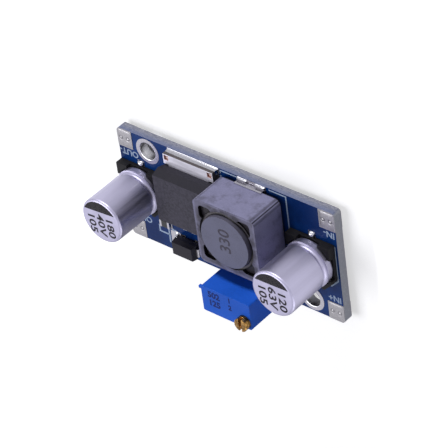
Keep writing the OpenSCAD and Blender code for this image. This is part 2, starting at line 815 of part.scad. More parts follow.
circuit_board();
input_negative_pad();
input_positive_pad();
output_negative_pad();
output_positive_pad();
input_mount_ring();
output_mount_ring();
solder_lands();
input_capacitor_can();
input_capacitor_base();
input_capacitor_terminals();
output_capacitor_can();
output_capacitor_base();
output_capacitor_terminals();
choke_shield();
choke_core();
choke_winding();
choke_wire_ends();
choke_base();
choke_terminals();
regulator_body();
regulator_tab();
regulator_leads();
diode_body();
diode_terminals();
trimmer_housing();
trimmer_potting();
trimmer_screw();
trimmer_pins();
trimmer_solder();
feedback_resistor();
compensation_capacitor();
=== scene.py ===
"""Looks of a boost converter module: finishes for its solids, and the print, solder and tinning on them."""
from math import radians

import bmesh
import bpy
import numpy as np
from bpy.props import FloatProperty, FloatVectorProperty, PointerProperty, StringProperty
from mathutils import Matrix, Vector


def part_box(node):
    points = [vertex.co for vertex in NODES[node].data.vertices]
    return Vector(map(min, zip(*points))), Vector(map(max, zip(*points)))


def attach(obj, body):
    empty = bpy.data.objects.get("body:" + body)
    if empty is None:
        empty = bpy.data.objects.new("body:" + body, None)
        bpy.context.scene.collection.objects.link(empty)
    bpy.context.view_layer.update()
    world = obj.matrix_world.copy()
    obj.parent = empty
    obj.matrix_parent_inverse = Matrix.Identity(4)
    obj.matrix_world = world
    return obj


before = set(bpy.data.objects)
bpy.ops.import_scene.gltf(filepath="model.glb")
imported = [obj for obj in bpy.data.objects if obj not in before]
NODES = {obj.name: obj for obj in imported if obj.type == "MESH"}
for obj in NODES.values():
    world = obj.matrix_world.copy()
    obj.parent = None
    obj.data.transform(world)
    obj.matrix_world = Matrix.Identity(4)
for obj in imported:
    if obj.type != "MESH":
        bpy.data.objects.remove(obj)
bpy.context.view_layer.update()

bl_info = {
    "name": "Boost converter module",
    "version": (1, 0, 0),
    "blender": (4, 5, 0),
    "location": "3D View > Sidebar > Module",
    "description": "Dresses the solids of a boost converter module for a studio picture",
    "category": "Object",
}

MM = 0.001
MODULE = "module"
ENDS = ("input", "output")


def tone(r, g, b):
    """Linear colour of a display colour that is given in steps of 255."""
    c = np.array([r, g, b]) / 255
    return tuple(np.where(c <= 0.04045, c / 12.92, ((c + 0.055) / 1.055) ** 2.4).tolist())


def span(node):
    """Lowest and highest corner of a solid of the frame, in millimetres."""
    low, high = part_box(node)
    return np.array(low) / MM, np.array(high) / MM


def middle_of(node):
    """Middle of a solid of the frame, in millimetres."""
    low, high = span(node)
    return (low + high) / 2


# Levels of the board and its pads, in millimetres
BOARD_HIGH = span("circuit_board")[1]
TOP = BOARD_HIGH[2]
SEAT = span("input_negative_pad")[1][2]

# Sizes in the solids that their boxes don't show: a pad's vias, the mounting holes, the choke's ring gap and
# corner pockets, the tab's recesses, the screw's slot and the caps of the chips
VIA_X, VIA_R = 0.7, 0.3
HOLE_R = 1.6
CHOKE_GAP = 0.6
POCKET_WALL, POCKET_SIDE, POCKET_R = 1.0, 2.5, 0.7
RECESS_IN, RECESS_SIDE = 0.65, 0.8
SLOT_DEPTH = 0.7
CHIP_CAP = 0.4

# Print: how far it is let into a face, how far it stands out of the board and of a part, and its leaning rim
PRINT_SUNK, BOARD_PRINT, PART_PRINT, PRINT_RIM = 0.005, 0.014, 0.012, 0.006
# Height of a figure as a share of the font's size
FIGURE_SHARE = 0.7
# Letters at the corner pads, each with its X and Y
SIGNS = [("IN-", -20.15, -6.25), ("IN+", -19.95, 6.2), ("OUT-", 19.55, -6.25), ("OUT+", 19.0, 6.3)]

# Meshes: seams that are merged, in metres, and the angle from which an edge is sharp
SEAM = 1e-7
SHARP = radians(35)


# Properties that a user would change

def colour(name, text, shade):
    """Colour property, its default a display colour in steps of 255."""
    return FloatVectorProperty(name=name, description=text, subtype="COLOR", min=0, max=1,
                               default=tone(*shade))


def length(name, text, default):
    """Length property, its default in millimetres."""
    return FloatProperty(name=name, description=text, unit="LENGTH", min=0, default=default * MM)


def figures(name, text, default):
    """Property of printed figures, in rows that are parted by spaces."""
    return StringProperty(name=name, description=text, default=default)


def watts(name, text, default):
    """Power property of a lamp."""
    return FloatProperty(name=name, description=text, subtype="POWER", default=default)


class BoardLook(bpy.types.PropertyGroup):
    """Mask, edge and print of the board"""
    mask: colour("Mask", "Solder mask over the copper", (14, 60, 128))
    gap: colour("Mask in gaps", "Solder mask over bare board between the copper areas", (9, 40, 96))
    edge: colour("Edge", "Cut edge of the glass-fibre board", (170, 171, 186))
    ink: colour("Print", "Printed outlines and signs on the board", (168, 186, 212))
    line: length("Line", "Width of the printed outlines", 0.27)
    sign: length("Signs", "Height of the letters at the corner pads", 1.1)


class MetalLook(bpy.types.PropertyGroup):
    """Bare and plated metals"""
    tin: colour("Tin", "Tinned rings, lands and terminals", (186, 184, 192))
    pad: colour("Pads", "Dull tin on the corner pads", (160, 158, 162))
    terminal: colour("Diode terminals", "Dull tin on the diode's terminals", (138, 136, 142))
    plating: colour("Plating", "Walls of the mounting holes", (240, 240, 244))
    solder: colour("Solder", "Solder at the terminals", (196, 196, 203))
    can: colour("Can", "Aluminium of the capacitors' cans", (172, 169, 192))
    tab: colour("Tab", "Plated tab of the regulator", (234, 232, 246))
    copper: colour("Copper", "Copper of the winding", (152, 88, 66))
    brass: colour("Brass", "Adjusting screw", (200, 154, 88))


class MouldLook(bpy.types.PropertyGroup):
    """Moulded, cast and sintered bodies"""
    black: colour("Black", "Bases of the capacitors and the choke", (24, 23, 26))
    regulator: colour("Regulator", "Moulded body of the regulator", (62, 60, 71))
    diode: colour("Diode", "Moulded body of the diode", (42, 40, 48))
    trimmer: colour("Trimmer", "Housing of the trimmer", (34, 94, 208))
    resin: colour("Resin", "Resin under the trimmer", (62, 72, 96))
    ferrite: colour("Ferrite", "Shield of the choke", (137, 136, 168))
    core: colour("Core", "Drum core of the choke", (107, 108, 131))
    rim: colour("Rim", "Film of resin on the shield's top, and the core's side", (92, 90, 106))
    glue: colour("Glue", "Resin round the choke's core", (96, 92, 98))
    # This dark colour also paints shade in the choke's bore, pockets and ring gap, and the dark lines of a
    # painted reflection on its corners.
    stain_and_shade: colour("Stain", "Dried flux and resin on the choke", (46, 43, 50))
    chip: colour("Chip capacitor", "Fired ceramic of the chip capacitor", (168, 138, 102))
    film: colour("Chip resistor", "Glaze on the chip resistor", (28, 28, 31))


class MarkLook(bpy.types.PropertyGroup):
    """Plain figures printed on the parts"""
    ink: colour("Ink", "Print on the cans", (36, 33, 40))
    input_can: figures("Input can", "Rows on the input can", "120 63V 105")
    output_can: figures("Output can", "Rows on the output can", "180 40V 105")
    choke: figures("Choke", "Figures on the drum core", "330")
    trimmer: figures("Trimmer", "Rows on the trimmer", "502 125")


class StageLook(bpy.types.PropertyGroup):
    """Floor and light"""
    floor: colour("Floor", "Colour of the floor", (217, 217, 220))
    key: watts("Key", "Power of the lamp at the tab's side", 2.0)
    front: watts("Front", "Power of the lamp over the board", 2.0)
    fill: watts("Fill", "Power of the lamp at the trimmer's side", 0.8)
    sky: FloatProperty(name="Sky", description="Strength of the light from all round", subtype="FACTOR",
                       min=0, max=1, default=0.13)


LOOKS = {
    "module_board": BoardLook,
    "module_metal": MetalLook,
    "module_mould": MouldLook,
    "module_mark": MarkLook,
    "module_stage": StageLook,
}


# Surfaces, as whole arrays of points in millimetres

def loft(rings, loop=False):
    """Closed surface through rings of points, an array of stations by points round each by three.

    Each ring is closed, and joined point by point to the next. The last ring joins the first where the
    stations run in a loop, and otherwise a flat cap closes each end.
    """
    stations, around = rings.shape[:2]
    index = np.arange(stations * around).reshape(stations, around)
    far = np.roll(index, -1, axis=0) if loop else index[1:]
    near = index if loop else index[:-1]
    quads = np.stack([near, np.roll(near, -1, axis=1), np.roll(far, -1, axis=1), far], axis=-1)
    faces = quads.reshape(-1, 4).tolist()
    if not loop:
        faces += [index[0].tolist(), index[-1].tolist()]
    return rings.reshape(-1, 3), faces


def stacked(x, y, z):
    """Points from arrays of X, Y and Z, each spread to the shape that all three make together."""
    return np.stack(np.broadcast_arrays(x, y, z), axis=-1)


def right_of(steps):
    """Unit normals to the right of vectors in the plane: Y and minus X, over the length."""
    return np.stack([steps[:, 1], -steps[:, 0]], axis=1) / np.linalg.norm(steps, axis=1)[:, None]


def plate(outline, low, high, rim, least=0.3):
    """Flat plate of an outline that runs anticlockwise: its wall rises from low to high less the rim, and the
    rim then leans in by as much. Each point moves in along the sum of the normals of its two sides over one
    plus their product, which at a sharp corner isn't taken for less than the least."""
    before = right_of(outline - np.roll(outline, 1, axis=0))
    after = right_of(np.roll(outline, -1, axis=0) - outline)
    mean = (before + after) / np.maximum(1 + (before * after).sum(axis=1), least)[:, None]
    rings = [(outline, low), (outline, high - rim), (outline - mean * rim, high)]
    return loft(np.array([np.column_stack([xy, np.full(len(xy), z)]) for xy, z in rings]))


def ribbon(path, width, low, high, lean=0.03):
    """Printed line: a low trapezium carried along a path in the plane, with mitred corners. At each point
    the section lies along the mean of the normals of the two stretches, lengthened to keep the width."""
    path = np.array(path, float)
    across = -right_of(np.diff(path, axis=0))
    before, after = np.vstack([across[:1], across]), np.vstack([across, across[-1:]])
    mitre = (before + after) / (1 + (before * after).sum(axis=1))[:, None]
    offsets = np.array([-width / 2, width / 2, width / 2 - lean, lean - width / 2])
    xy = path[:, None, :] + mitre[:, None, :] * offsets[None, :, None]
    return loft(stacked(xy[..., 0], xy[..., 1], np.array([low, low, high, high])))


def once_round(steps):
    """Angles of that many points spread evenly over a full turn."""
    return np.linspace(0, 2 * np.pi, steps, endpoint=False)


def revolve(profile, x, y, steps=64):
    """Closed profile of radius and height, turned once round the upright axis at x and y."""
    turn = once_round(steps)[:, None]
    radius, height = np.array(profile, float).T
    return loft(stacked(x + radius * np.cos(turn), y + radius * np.sin(turn), height), loop=True)


def meniscus(width, depth, reach, height, x, y, turn, tuck=0.06, least=0.2, steps=7):
    """Solder round the end of a terminal of that width, on the last stretch of its length.

    The path goes out along one side, round the end and back along the other, its normal turning through a
    quarter at each corner. The section is a hollow quarter wave: from the foot at the full reach, the
    distance falls as one less the sine while the height rises as one less the cosine. Along the sides both
    fade to the least share, with the cosine of the way back. The inner edge is tucked into the terminal.
    """
    fan = np.linspace(0, np.pi / 2, steps)
    back = np.linspace(0, 1, steps)[::-1]
    angle = np.concatenate([np.full(steps, np.pi), np.pi - fan, np.pi / 2 - fan, np.zeros(steps)])[:, None]
    side = np.repeat([-0.5, 0.5], 2 * steps)[:, None] * width
    way = np.concatenate([back, np.zeros(2 * steps), back[::-1]])[:, None]
    fade = least + (1 - least) * np.cos(way * np.pi / 2)
    wave = np.linspace(0, np.pi / 2, 9)
    out = np.concatenate([[-tuck], reach * (1 - np.sin(wave)), [-tuck]])
    up = np.concatenate([[0.0], height * (1 - np.cos(wave)), [height]])
    out = np.where(out < 0, out, out * fade)
    local = stacked(side + np.cos(angle) * out, -depth * way + np.sin(angle) * out, SEAT + up * fade)
    return placed(loft(local), x, y, turn)


def bead(width, depth, height, x, y, steps=24):
    """Domed blob of solder on the seat: half an ellipsoid whose plan is a superellipse of the third power, so
    each ring is the plan times the cosine of the rise, at the sine of the rise times the height. The last
    ring lies just short of the top."""
    turn = once_round(steps)
    rise = np.linspace(0, 0.49 * np.pi, 9)[:, None]
    plan_x, plan_y = (np.sign(wave) * np.abs(wave) ** (2 / 3) for wave in (np.cos(turn), np.sin(turn)))
    return loft(stacked(x + width / 2 * plan_x * np.cos(rise), y + depth / 2 * plan_y * np.cos(rise),
                        SEAT + height * np.sin(rise)))


def glue_ring(inner, outer, level, x, y, under=0.28, sag=0.12, deep=0.8, steps=96):
    """Resin in a ring gap: across the gap its top hangs as a parabola, and round the axis its level drifts as
    the sum of two sines, a little under the given level. Its flat foot lies deep under that level."""
    turn = once_round(steps)[:, None]
    across = np.linspace(0, 1, 9)
    drift = 0.1 * np.sin(3 * turn + 1) + 0.06 * np.sin(7 * turn + 2)
    top = level - under + drift - sag * (1 - (2 * across - 1) ** 2)
    radius = np.concatenate([[inner, outer], inner + (outer - inner) * across[::-1]])
    height = np.concatenate([np.full((steps, 2), level - deep), top[:, ::-1]], axis=1)
    return loft(stacked(x + radius * np.cos(turn), y + radius * np.sin(turn), height), loop=True)


def pocket_resin(bore, level, x, y, turn, lap=0.1, deep=0.9, rim=0.08):
    """Resin in a corner pocket of the shield: a plate whose outline goes up one wall, round the pocket's
    corner in a quarter circle, along the other wall, and back on an arc that laps over the bore's edge."""
    reach = span("choke_shield")[1][0] - x - POCKET_WALL
    near, inside = reach - POCKET_SIDE, bore - lap
    fan = np.linspace(0, np.pi / 2, 7)
    corner = reach - POCKET_R + POCKET_R * np.column_stack([np.cos(fan), np.sin(fan)])
    start = np.arcsin(near / inside)
    arc = np.linspace(np.pi / 2 - start, start, 13)
    walls = [[(reach, near)], corner, [(near, reach)], inside * np.column_stack([np.cos(arc), np.sin(arc)])]
    return placed(plate(np.concatenate(walls), level - deep, level, rim), x, y, turn)


def placed(surface, x, y, turn):
    """The surface turned about the upright axis by that many degrees and moved to x and y."""
    points, faces = surface
    c, s = np.cos(radians(turn)), np.sin(radians(turn))
    xy = points[:, :2] @ np.array([[c, s], [-s, c]]) + (x, y)
    return np.column_stack([xy, points[:, 2]]), faces


def tinning(low, high, z, rise, dome=(0.9, 0.2), groove=(0.8, 0.09), steps=45):
    """Solder levelled over a pad: over the unit square the height is one less the eighth power of each
    parameter, multiplied. At each via a bell curve of the distance lifts it, in a groove that is a bell curve
    of the distance from the via's radius, each with its share of the height and its width. A low wall goes
    down from its border to the flat underside."""
    u, v = np.meshgrid(np.linspace(-1, 1, steps), np.linspace(-1, 1, steps), indexing="ij")
    middle, half = (low + high) / 2, (high - low) / 2
    x, y = middle[0] + u * half[0], middle[1] + v * half[1]
    swell = (1 - u ** 8) * (1 - v ** 8)
    gap = np.minimum(*(np.hypot(x - middle[0] - via, y - middle[1]) for via in (-VIA_X, VIA_X)))
    lift, dip = (share * np.exp(-(away / width) ** 2)
                 for away, (share, width) in ((gap, dome), (gap - VIA_R, groove)))
    wall = rise / 10
    height = z + wall + rise * swell * (1 + lift - dip)
    index = np.arange(steps * steps).reshape(steps, steps)
    quads = np.stack([index[:-1, :-1], index[1:, :-1], index[1:, 1:], index[:-1, 1:]], axis=-1)
    rim = np.concatenate([index[0, :-1], index[:-1, -1], index[-1, :0:-1], index[:0:-1, 0]])
    top = np.stack([x, y, height], axis=-1).reshape(-1, 3)
    foot = len(top) + np.arange(len(rim))
    walls = np.stack([rim, np.roll(rim, -1), np.roll(foot, -1), foot], axis=-1)
    faces = quads.reshape(-1, 4).tolist() + walls.tolist() + [foot.tolist()]
    return np.concatenate([top, top[rim] - (0, 0, wall)]), faces


def lettering(text, height, x, y, z, turn, wide=1.0, bold=0.03):
    """Plain figures as a thin closed plate, centred at x and y, reading in the direction of the turn."""
    curve = bpy.data.curves.new("figures", "FONT")
    curve.body, curve.align_x, curve.align_y = text, "CENTER", "CENTER"
    curve.size, curve.extrude, curve.resolution_u = height / FIGURE_SHARE, PART_PRINT / 2, 4
    curve.offset = bold * height
    holder = bpy.data.objects.new("figures", curve)
    mesh = bpy.data.meshes.new_from_object(holder)
    points = np.empty(len(mesh.vertices) * 3)
    mesh.vertices.foreach_get("co", points)
    points = points.reshape(-1, 3) * (wide, 1, 1) + (0, 0, z + PART_PRINT / 2)
    faces = [list(face.vertices) for face in mesh.polygons]
    bpy.data.objects.remove(holder)
    bpy.data.curves.remove(curve)
    bpy.data.meshes.remove(mesh)
    return placed((points, faces), x, y, turn)


def piece(name, surfaces, material):
    """One new piece of the module from closed surfaces in millimetres. Each surface is merged at its seams
    and turned to face outwards, which its volume shows."""
    mesh = bpy.data.meshes.new(name)
    whole = bmesh.new()
    for points, faces in surfaces:
        mesh.clear_geometry()
        mesh.from_pydata((points * MM).tolist(), [], faces)
        shell = bmesh.new()
        shell.from_mesh(mesh)
        bmesh.ops.remove_doubles(shell, verts=shell.verts, dist=SEAM)
        bmesh.ops.recalc_face_normals(shell, faces=shell.faces)
        if shell.calc_volume(signed=True) < 0:
            bmesh.ops.reverse_faces(shell, faces=shell.faces)
        shell.to_mesh(mesh)
        shell.free()
        whole.from_mesh(mesh)
    whole.to_mesh(mesh)
    whole.free()
    mesh.shade_smooth()
    mesh.set_sharp_from_angle(angle=SHARP)
    obj = bpy.data.objects.new(name, mesh)
    bpy.context.scene.collection.objects.link(obj)
    mesh.materials.append(material)
    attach(obj, MODULE)


def finish_nodes(material, *names):
    """Gives solids of the frame their finish."""
    for name in names:
        NODES[name].data.materials.clear()
        NODES[name].data.materials.append(material)


# Short calls for node trees

def put(tree, kind, inputs=None, **options):
    """New node, with its options set and each input given a value or linked from a socket."""
    node = tree.nodes.new(kind)
    for key, value in options.items():
        setattr(node, key, value)
    for key, value in (inputs or {}).items():
        if isinstance(value, bpy.types.NodeSocket):
            tree.links.new(value, node.inputs[key])
        else:
            node.inputs[key].default_value = value
    return node


def calc(tree, operation, a, b=0.0):
    """Result of a Math node."""
    return put(tree, "ShaderNodeMath", {0: a, 1: b}, operation=operation).outputs[0]


def times(tree, first, *others):
    """Product of values."""
    for other in others:
        first = calc(tree, "MULTIPLY", first, other)
    return first


def size_of(tree, value):
    """A value without its sign."""
    return calc(tree, "ABSOLUTE", value)


def away(tree, value, middle):
    """Distance of a value from a middle."""
    return size_of(tree, calc(tree, "SUBTRACT", value, middle))


def step(tree, value, low, high, start=0.0, end=1.0):
    """Value carried smoothly from start to end as it goes from low to high."""
    inputs = {"Value": value, "From Min": low, "From Max": high, "To Min": start, "To Max": end}
    return put(tree, "ShaderNodeMapRange", inputs, interpolation_type="SMOOTHSTEP").outputs[0]


def between(tree, factor, a, b):
    """Colour between two colours."""
    a, b = (shade if isinstance(shade, bpy.types.NodeSocket) else (*shade, 1) for shade in (a, b))
    return put(tree, "ShaderNodeMix", {0: factor, 6: a, 7: b}, data_type="RGBA").outputs[2]


def scaled(shade, share):
    """Colour made darker or lighter, at most to white."""
    return tuple(min(share * c, 1) for c in shade)


def here(tree):
    """Object coordinates, in metres."""
    return put(tree, "ShaderNodeTexCoord").outputs["Object"]


def parts_of(tree, place):
    """The X, Y and Z of a vector."""
    return put(tree, "ShaderNodeSeparateXYZ", {0: place}).outputs


def facing(tree):
    """The vector that a face looks along."""
    return put(tree, "ShaderNodeNewGeometry").outputs["Normal"]


def vector(tree, operation, a, b=(0.0, 0.0, 0.0)):
    """Result of a Vector Math node: a value for a length or a dot product, and otherwise a vector."""
    node = put(tree, "ShaderNodeVectorMath", {0: a, 1: b}, operation=operation)
    return node.outputs["Value" if operation in ("LENGTH", "DOT_PRODUCT") else "Vector"]


def clouds(tree, place, scale, detail=3.0, rough=0.5):
    """Noise of that scale, in features to a metre."""
    inputs = {"Vector": place, "Scale": scale, "Detail": detail, "Roughness": rough}
    return put(tree, "ShaderNodeTexNoise", inputs).outputs["Fac"]


def noise(tree, place, size, detail=3.0, rough=0.55):
    """Noise whose features are about that many millimetres across."""
    return clouds(tree, place, 1 / (size * MM), detail, rough)


def group(name, inputs, outputs, fill):
    """Shader node group with sockets of those names. fill(tree, given) builds it and returns its outputs in
    order."""
    tree = bpy.data.node_groups.new(name, "ShaderNodeTree")
    for way, labels in (("INPUT", inputs), ("OUTPUT", outputs)):
        for label in labels.split():
            kind = "NodeSocketVector" if label in ("Vector", "Stretch", "Normal") else "NodeSocketFloat"
            tree.interface.new_socket(label, in_out=way, socket_type=kind)
    made = fill(tree, put(tree, "NodeGroupInput").outputs)
    put(tree, "NodeGroupOutput", dict(enumerate(made)))
    return tree


def grain_group():
    """Fine grain of a moulded or sintered face: small noise with shallow pits, and a broad drift of tone."""
    def fill(tree, given):
        place, scale = given["Vector"], given["Scale"]
        near = clouds(tree, place, scale, 5.0, 0.65)
        cells = put(tree, "ShaderNodeTexVoronoi", {"Vector": place, "Scale": times(tree, scale, 0.7)})
        drift = clouds(tree, place, times(tree, scale, 0.06))
        height = calc(tree, "ADD", times(tree, near, 0.7), times(tree, cells.outputs["Distance"], 0.4))
        return height, step(tree, near, 0.35, 0.65), step(tree, drift, 0.3, 0.7)
    return group("Moulded grain", "Vector Scale", "Height Speckle Drift", fill)


def edge_group():
    """Rounded edge: the normal turned over the edge within a radius, and a mask of how far it turned."""
    def fill(tree, given):
        soft = put(tree, "ShaderNodeBevel", {"Radius": given["Radius"]}, samples=6).outputs["Normal"]
        return soft, step(tree, vector(tree, "DOT_PRODUCT", soft, facing(tree)), 0.995, 0.85)
    return group("Soft edge", "Radius", "Normal Wear", fill)


def ripple_group():
    """Tinned metal: the lumpy surface of levelled solder, and a broken frost that dulls it."""
    def fill(tree, given):
        place, scale = given["Vector"], given["Scale"]
        frost = clouds(tree, place, times(tree, scale, 6.0), 6.0, 0.7)
        height = calc(tree, "ADD", clouds(tree, place, scale, 2.0), times(tree, frost, 0.12))
        return height, step(tree, frost, 0.4, 0.62)
    return group("Tinned ripple", "Vector Scale", "Height Frost", fill)


def streak_group():
    """Drawn or brushed metal: fine streaks along the axis that the stretch keeps long, and scratches."""
    def fill(tree, given):
        along = vector(tree, "MULTIPLY", given["Vector"], given["Stretch"])
        fine, broad = clouds(tree, along, 1.0, 4.0, 0.6), clouds(tree, along, 0.17, 2.0)
        return fine, step(tree, broad, 0.3, 0.7), step(tree, fine, 0.66, 0.74)
    return group("Drawn streaks", "Vector Stretch", "Height Tone Scratch", fill)


SHARED = {"grain": grain_group, "edge": edge_group, "ripple": ripple_group, "streak": streak_group}

# Streaks to a metre along X, Y and Z: upright ones, and ones along the board
UPRIGHT, LENGTHWISE = (2600.0, 2600.0, 90.0), (160.0, 3200.0, 3200.0)


def shared(tree, key, **inputs):
    """Outputs of a shared effect that is placed in a material, and built on its first use."""
    known = SHARED[key]
    if callable(known):
        SHARED[key] = known = known()
    return put(tree, "ShaderNodeGroup", inputs, node_tree=known).outputs


def finish(name, build, **fixed):
    """Material with some fixed values, whose base colour, roughness, normal and, where there is a fourth,
    metallic value are what build(tree, place) returns."""
    material = bpy.data.materials.new(name)
    material.use_nodes = True
    tree = material.node_tree
    shader = tree.nodes["Principled BSDF"]
    for label, value in fixed.items():
        shader.inputs[label.replace("_", " ")].default_value = value
    for label, socket in zip(("Base Color", "Roughness", "Normal", "Metallic"), build(tree, here(tree))):
        tree.links.new(socket, shader.inputs[label])
    return material


def bumped(tree, height, depth, normal=None):
    """Normal of a height that stands out by so many millimetres."""
    inputs = {"Height": height, "Distance": depth * MM, "Strength": 1.0}
    if normal is not None:
        inputs["Normal"] = normal
    return put(tree, "ShaderNodeBump", inputs).outputs[0]


def softened(tree, radius):
    """Normal that is rounded over the edges within a radius in millimetres."""
    return shared(tree, "edge", Radius=radius * MM)["Normal"]


def upward(tree):
    """How far the face looks up or down, from 0 on an upright face to 1 on a level one."""
    return step(tree, size_of(tree, parts_of(tree, facing(tree))[2]), 0.3, 0.75)


def endward(tree):
    """How far the face looks along the board, from 0 on a long side to 1 on an end."""
    return step(tree, size_of(tree, parts_of(tree, facing(tree))[0]), 0.5, 0.9)


def about(tree, place, node):
    """X and Y from the middle of a solid, and the distance from its upright axis."""
    axis = (*(middle_of(node) * MM)[:2].tolist(), 0.0)
    flat = vector(tree, "MULTIPLY", vector(tree, "SUBTRACT", place, axis), (1.0, 1.0, 0.0))
    x, y, _ = parts_of(tree, flat)
    return x, y, vector(tree, "LENGTH", flat)


def waves(tree, value, pitch):
    """Sine of a value, with a wave in so many millimetres."""
    return calc(tree, "SINE", times(tree, value, 2 * np.pi / (pitch * MM)))


# Finishes

def mask_finish(look):
    """Glossy solder mask over a faint glass weave, and the fibre of the edges: layered and tinted by the
    mask along the routed sides, and painted paler on the two end faces as painted light."""
    def build(tree, place):
        x, y, z = parts_of(tree, place)
        level = upward(tree)
        blue = between(tree, step(tree, noise(tree, place, 6.0, 4.0), 0.35, 0.7), look.gap, look.mask)
        specks = step(tree, noise(tree, place, 0.35, 5.0), 0.5, 0.8, 0.0, 0.2)
        blue = between(tree, specks, blue, tone(30, 76, 152))
        layers = noise(tree, vector(tree, "MULTIPLY", place, (1.0, 1.0, 6.0)), 0.8, 5.0, 0.7)
        fibre = between(tree, step(tree, layers, 0.35, 0.68), tone(118, 121, 140), look.edge)
        flecks = step(tree, noise(tree, place, 0.22, 4.0, 0.7), 0.5, 0.72, 0.0, 0.7)
        fibre = between(tree, flecks, fibre, tone(196, 196, 202))
        near_mask = step(tree, z, (TOP - 1.3) * MM, (TOP - 0.2) * MM, 0.0, 0.6)
        fibre = between(tree, near_mask, fibre, tone(110, 122, 164))
        # Painted light: the board's two end faces are painted paler than its routed sides.
        painted_light_ends = between(tree, flecks, tone(186, 189, 202), tone(232, 232, 236))
        fibre = between(tree, endward(tree), fibre, painted_light_ends)
        weave = times(tree, waves(tree, x, 0.55), waves(tree, y, 0.55))
        height = calc(tree, "ADD", weave, noise(tree, place, 0.25, 4.0))
        return (between(tree, level, fibre, blue), step(tree, level, 0.0, 1.0, 0.8, 0.24),
                bumped(tree, height, 0.004, softened(tree, 0.08)))
    return finish("solder mask", build, Specular_IOR_Level=0.12)


def via_shade_rings(tree, place):
    """Mask of a ring of painted shade round each via of the corner pads, in the groove of the levelled
    solder. The vias lie alike in all four corners, so one distance from the X and Y without their signs
    serves them all."""
    pad_x, pad_y, _ = np.abs(middle_of("input_negative_pad")) * MM
    x, y, _ = parts_of(tree, place)
    off_x = calc(tree, "SUBTRACT", away(tree, size_of(tree, x), pad_x), VIA_X * MM)
    off_y = calc(tree, "SUBTRACT", size_of(tree, y), pad_y)
    flat = put(tree, "ShaderNodeCombineXYZ", {0: off_x, 1: off_y}).outputs[0]
    return step(tree, away(tree, vector(tree, "LENGTH", flat), VIA_R * MM), 0.13 * MM, 0.04 * MM, 0.0, 0.6)


def tin_finish(name, shade, lumps, rough, depth, vias=False):
    """Tinned copper or solder: lumps of that size, frosted in patches, rougher where frosted, and with rings
    of painted shade round the vias where it has them. Its roughness goes from the first value to the second."""
    def build(tree, place):
        ripple = shared(tree, "ripple", Vector=place, Scale=1 / (lumps * MM))
        base = between(tree, ripple["Frost"], shade, scaled(shade, 0.78))
        if vias:
            # Painted shade: a dark ring round each via, in the solder's groove.
            base = between(tree, via_shade_rings(tree, place), base, tone(84, 82, 88))
        return base, step(tree, ripple["Frost"], 0.0, 1.0, *rough), bumped(tree, ripple["Height"], depth)
    return finish(name, build, Metallic=1.0)


def can_finish(look):
    """Drawn aluminium with upright streaks and pale scratches, duller on its coated top."""
    def build(tree, place):
        streak = shared(tree, "streak", Vector=place, Stretch=UPRIGHT)
        metal = between(tree, streak["Tone"], scaled(look.can, 0.92), look.can)
        base = between(tree, times(tree, streak["Scratch"], 0.3), metal, tone(214, 212, 226))
        side = step(tree, streak["Height"], 0.3, 0.7, 0.38, 0.48)
        rough = calc(tree, "ADD", side, times(tree, upward(tree), 0.04))
        return base, rough, bumped(tree, streak["Height"], 0.0015)
    return finish("drawn can", build, Metallic=1.0)


def mould_finish(name, shade, grain, depth, rough, edge=0.1, rubbed=1.5, speckle=1.18, shine=0.14,
                 drift=0.88, over=None):
    """Moulded or sintered body: grain of that size, a drift of tone and roughness, and edges that are
    softened and rubbed. What over(tree, place, colour) returns is the colour with the body's own marks."""
    def build(tree, place):
        grains = shared(tree, "grain", Vector=place, Scale=1 / (grain * MM))
        soft = shared(tree, "edge", Radius=edge * MM)
        body = between(tree, grains["Drift"], scaled(shade, drift), scaled(shade, 1.06))
        body = between(tree, times(tree, grains["Speckle"], 0.6), body, scaled(shade, speckle))
        broken = step(tree, noise(tree, place, 0.6, 4.0), 0.35, 0.6)
        body = between(tree, times(tree, soft["Wear"], broken), body, scaled(shade, rubbed))
        return (over(tree, place, body) if over else body, step(tree, grains["Drift"], 0.0, 1.0, *rough),
                bumped(tree, grains["Height"], depth, soft["Normal"]))
    return finish(name, build, Specular_IOR_Level=shine)


def core_radius():
    """Radius of the choke's drum core, in millimetres."""
    low, high = span("choke_core")
    return (high[0] - low[0]) / 2


